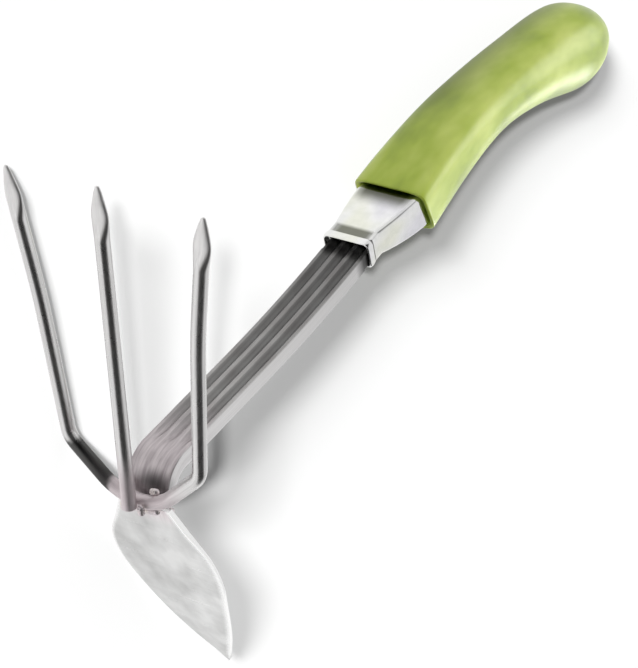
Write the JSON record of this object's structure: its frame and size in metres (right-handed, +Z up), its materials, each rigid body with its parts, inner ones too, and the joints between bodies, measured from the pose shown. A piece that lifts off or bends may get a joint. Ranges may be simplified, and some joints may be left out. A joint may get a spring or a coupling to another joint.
{
  "type": "hoe cultivator",
  "caption": "Hand garden tool with a leaf-shaped hoe blade and three rod tines on a ribbed flat bar, chrome ferrule and curved green handle.",
  "frame": {"origin": "centre of the bounding box in X and Y, at its lowest Z: the tool lies on its side on the point of one outer tine, the edge of the blade and the side of the handle", "axes": "+X from the head towards the butt of the handle, along the bar; +Y the way the tines point; +Z up, through the width of the bar"},
  "size_m": [0.3224, 0.218, 0.0845],
  "materials": {
    "forged_steel": "satin",
    "blade_steel": "satin",
    "rod_steel": "polished",
    "weld_steel": "satin",
    "bright_chrome": "polished",
    "core_plastic": "matte",
    "green_plastic": "gloss"
  },
  "bodies": {
    "root": {"shaft": "forged_steel", "blade": "blade_steel", "outer_tines": "rod_steel", "center_tine": "rod_steel", "tine_weld_far": "weld_steel", "tine_weld_near": "weld_steel", "center_weld_far": "weld_steel", "center_weld_near": "weld_steel", "blade_weld_front": "weld_steel", "blade_weld_far": "weld_steel", "blade_weld_near": "weld_steel", "ferrule_collar": "bright_chrome", "ferrule": "bright_chrome", "handle_core": "core_plastic", "tang_pin": "forged_steel", "handle_grip": "green_plastic"}
  },
  "joints": []
}
